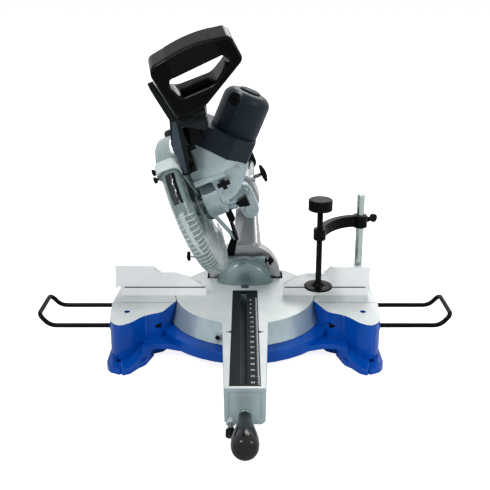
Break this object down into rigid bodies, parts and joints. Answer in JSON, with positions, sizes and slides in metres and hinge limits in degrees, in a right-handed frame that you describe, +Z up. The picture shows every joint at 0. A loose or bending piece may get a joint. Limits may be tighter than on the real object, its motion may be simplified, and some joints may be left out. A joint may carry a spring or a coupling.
{
  "type": "sliding mitre saw",
  "caption": "Sliding compound mitre saw: turntable with arm and kerf insert, fence, tilting column, twin rails, guarded blade, motor, D-handle, side bars and a post clamp.",
  "frame": {"origin": "on the bench, below the turntable's pivot, which is also the middle of the part's plan", "axes": "+Z up, the operator stands at -Y, and the rails run back along +Y"},
  "size_m": [0.8478, 0.96, 0.6731],
  "materials": {
    "blue_paint": "gloss enamel on cast metal",
    "machined_aluminium": "milled face",
    "cast_aluminium": "as cast, silver paint",
    "grey_casting": "grey silver paint",
    "column_casting": "grey silver paint",
    "motor_plastic": "moulded, fine grain",
    "black_plastic": "moulded, half gloss",
    "black_steel": "black lacquer",
    "insert_plastic": "moulded, with a white scale",
    "steel": "plain steel",
    "chrome": "hard chrome",
    "link_steel": "blue grey paint",
    "guard_plastic": "milky, ribbed",
    "clear_plastic": "clear plastic, ribbed",
    "blade_steel": "ground disc"
  },
  "bodies": {
    "frame": {"base_casting": "blue_paint", "fence_fixed_right": "machined_aluminium", "fence_fixed_left": "machined_aluminium"},
    "fence_right": {"fence_slide_right": "machined_aluminium"},
    "fence_left": {"fence_slide_left": "machined_aluminium"},
    "fence_lock_right": {"fence_knob_right": "black_plastic"},
    "fence_lock_left": {"fence_knob_left": "black_plastic"},
    "bar_right": {"extension_bar_right": "black_steel"},
    "bar_left": {"extension_bar_left": "black_steel"},
    "bar_lock_right": {"bar_screw_right": "black_plastic"},
    "bar_lock_left": {"bar_screw_left": "black_plastic"},
    "turntable": {"turntable_casting": "cast_aluminium", "kerf_insert": "insert_plastic", "mitre_pointer": "steel", "bevel_support": "grey_casting", "bevel_stop_right": "black_steel", "bevel_stop_left": "black_steel", "bevel_bolt": "steel", "index_spring": "steel"},
    "mitre_lock": {"mitre_knob": "black_plastic"},
    "mitre_index": {"index_knob": "black_plastic"},
    "bevel_lock": {"bevel_lever": "black_plastic"},
    "tilt": {"tilt_arm": "column_casting", "bush_upper": "steel", "bush_lower": "steel", "stop_bracket": "black_steel", "slide_lock_spring": "steel"},
    "slide_clamp": {"slide_lock": "black_plastic"},
    "carriage": {"rail_upper": "chrome", "rail_lower": "chrome", "rail_end_plate": "black_steel", "carriage_casting": "cast_aluminium", "pivot_pin": "steel", "link_anchor": "black_steel"},
    "link": {"guard_link": "link_steel"},
    "head": {"gear_case": "cast_aluminium", "motor_collar": "motor_plastic", "motor_housing": "motor_plastic", "motor_end_cap": "motor_plastic", "brush_cap_front": "black_plastic", "brush_cap_back": "black_plastic", "upper_guard": "guard_plastic", "dust_port": "black_plastic", "d_handle": "black_plastic", "lever_bracket": "black_steel", "depth_stop": "black_steel"},
    "latch": {"latch_knob": "black_plastic"},
    "spindle_button": {"spindle_lock": "black_plastic"},
    "switch": {"trigger": "motor_plastic"},
    "lever": {"guard_lever": "link_steel"},
    "guard": {"lower_guard": "clear_plastic"},
    "blade": {"saw_blade": "blade_steel", "outer_flange": "steel", "arbor_shaft": "steel"},
    "post": {"clamp_post": "chrome"},
    "arm": {"clamp_arm": "black_steel"},
    "thumbscrew": {"clamp_thumbscrew": "black_plastic"},
    "foot": {"clamp_foot": "black_steel"},
    "screw": {"clamp_screw": "black_steel"}
  },
  "joints": [
    {"name": "mitre_turn", "type": "hinge", "parent": "frame", "child": "turntable", "pos_m": [0, 0, 0.09], "axis": [0, 0, 1], "range_deg": [-45, 45]},
    {"name": "mitre_knob_turn", "type": "hinge", "parent": "turntable", "child": "mitre_lock", "pos_m": [0, -0.378, 0.041], "axis": [0, -1, 0], "range_deg": [0, 90]},
    {"name": "index_press", "type": "slide", "parent": "turntable", "child": "mitre_index", "axis": [0, 0.866, 0.5], "range_m": [0, 0.005], "stiffness_N_per_m": 1200, "springref_m": -0.003, "deforming": ["index_spring"]},
    {"name": "bevel_lever_turn", "type": "hinge", "parent": "turntable", "child": "bevel_lock", "pos_m": [0, 0.16, 0.09], "axis": [0, 1, 0], "range_deg": [0, 35]},
    {"name": "bevel_tilt", "type": "hinge", "parent": "turntable", "child": "tilt", "pos_m": [0, 0, 0.09], "axis": [0, -1, 0], "range_deg": [-22.5, 22.5]},
    {"name": "slide_lock_turn", "type": "hinge", "parent": "tilt", "child": "slide_clamp", "pos_m": [0.02076, 0.15, 0.30642], "axis": [0.9239, 0, 0.3827], "range_deg": [0, 90]},
    {"name": "head_slide", "type": "slide", "parent": "tilt", "child": "carriage", "axis": [0, -1, 0], "range_m": [-0.04, 0.212]},
    {"name": "head_chop", "type": "hinge", "parent": "carriage", "child": "head", "pos_m": [-0.05806, 0.1, 0.28243], "axis": [0.9239, 0, 0.3827], "range_deg": [0, 36], "stiffness_Nm_per_rad": 18, "springref_deg": -80.21},
    {"name": "guard_link_swing", "type": "hinge", "parent": "carriage", "child": "link", "pos_m": [-0.02422, 0.04, 0.20336], "axis": [0.9239, 0, 0.3827], "range_deg": [0, 45]},
    {"name": "lower_guard_turn", "type": "hinge", "parent": "head", "child": "guard", "pos_m": [-0.09644, -0.11, 0.32282], "axis": [0.9239, 0, 0.3827], "range_deg": [-118.3, 0]},
    {"name": "blade_spin", "type": "hinge", "parent": "head", "child": "blade", "pos_m": [-0.09644, -0.11, 0.32282], "axis": [0.9239, 0, 0.3827], "continuous": true},
    {"name": "latch_pull", "type": "slide", "parent": "head", "child": "latch", "axis": [0.9239, 0, 0.3827], "range_m": [0, 0.006], "stiffness_N_per_m": 900, "springref_m": -0.004},
    {"name": "spindle_press", "type": "slide", "parent": "head", "child": "spindle_button", "axis": [0, 1, 0], "range_m": [0, 0.0035], "stiffness_N_per_m": 900, "springref_m": -0.002},
    {"name": "trigger_press", "type": "slide", "parent": "head", "child": "switch", "axis": [0, -1, 0], "range_m": [0, 0.003], "stiffness_N_per_m": 900, "springref_m": -0.002},
    {"name": "guard_lever_press", "type": "hinge", "parent": "head", "child": "lever", "pos_m": [-0.10348, -0.18, 0.41299], "axis": [0.9239, 0, 0.3827], "range_deg": [0, 10], "stiffness_Nm_per_rad": 1.2, "springref_deg": -20.05},
    {"name": "fence_slide_right_out", "type": "slide", "parent": "frame", "child": "fence_right", "axis": [1, 0, 0], "range_m": [0, 0.07]},
    {"name": "fence_slide_left_out", "type": "slide", "parent": "frame", "child": "fence_left", "axis": [-1, 0, 0], "range_m": [0, 0.07]},
    {"name": "fence_knob_right_turn", "type": "hinge", "parent": "frame", "child": "fence_lock_right", "pos_m": [0.205, 0.022, 0.1005], "axis": [0, 1, 0], "range_deg": [0, 90]},
    {"name": "fence_knob_left_turn", "type": "hinge", "parent": "frame", "child": "fence_lock_left", "pos_m": [-0.205, 0.022, 0.1005], "axis": [0, 1, 0], "range_deg": [0, 90]},
    {"name": "bar_right_out", "type": "slide", "parent": "frame", "child": "bar_right", "axis": [1, 0, 0], "range_m": [0, 0.08]},
    {"name": "bar_left_out", "type": "slide", "parent": "frame", "child": "bar_left", "axis": [-1, 0, 0], "range_m": [0, 0.08]},
    {"name": "bar_screw_right_turn", "type": "hinge", "parent": "frame", "child": "bar_lock_right", "pos_m": [0.225, 0.032, 0.061], "axis": [0, 1, 0], "range_deg": [0, 90]},
    {"name": "bar_screw_left_turn", "type": "hinge", "parent": "frame", "child": "bar_lock_left", "pos_m": [-0.225, 0.032, 0.061], "axis": [0, 1, 0], "range_deg": [0, 90]},
    {"name": "clamp_swivel", "type": "hinge", "parent": "frame", "child": "post", "pos_m": [0.242, 0.005, 0.09], "axis": [0, 0, 1], "range_deg": [0, 60]},
    {"name": "clamp_height", "type": "slide", "parent": "post", "child": "arm", "axis": [0, 0, 1], "range_m": [-0.03, 0.04]},
    {"name": "clamp_thumbscrew_turn", "type": "hinge", "parent": "arm", "child": "thumbscrew", "pos_m": [0.242, 0.005, 0.25], "axis": [0.818, 0.5753, 0], "range_deg": [0, 90]},
    {"name": "clamp_press", "type": "slide", "parent": "arm", "child": "foot", "axis": [0, 0, -1], "range_m": [0, 0.033]},
    {"name": "clamp_screw_turn", "type": "hinge", "parent": "foot", "child": "screw", "pos_m": [0.151, -0.059, 0.3], "axis": [0, 0, -1], "range_deg": [0, 3960]}
  ],
  "couplings": [
    {"joint": "lower_guard_turn", "follows": "head_chop", "ratio": -3.2833},
    {"joint": "guard_link_swing", "follows": "head_chop", "ratio": 1.2464},
    {"joint": "clamp_press", "follows": "clamp_screw_turn", "m_per_rad": 0.00047746}
  ]
}
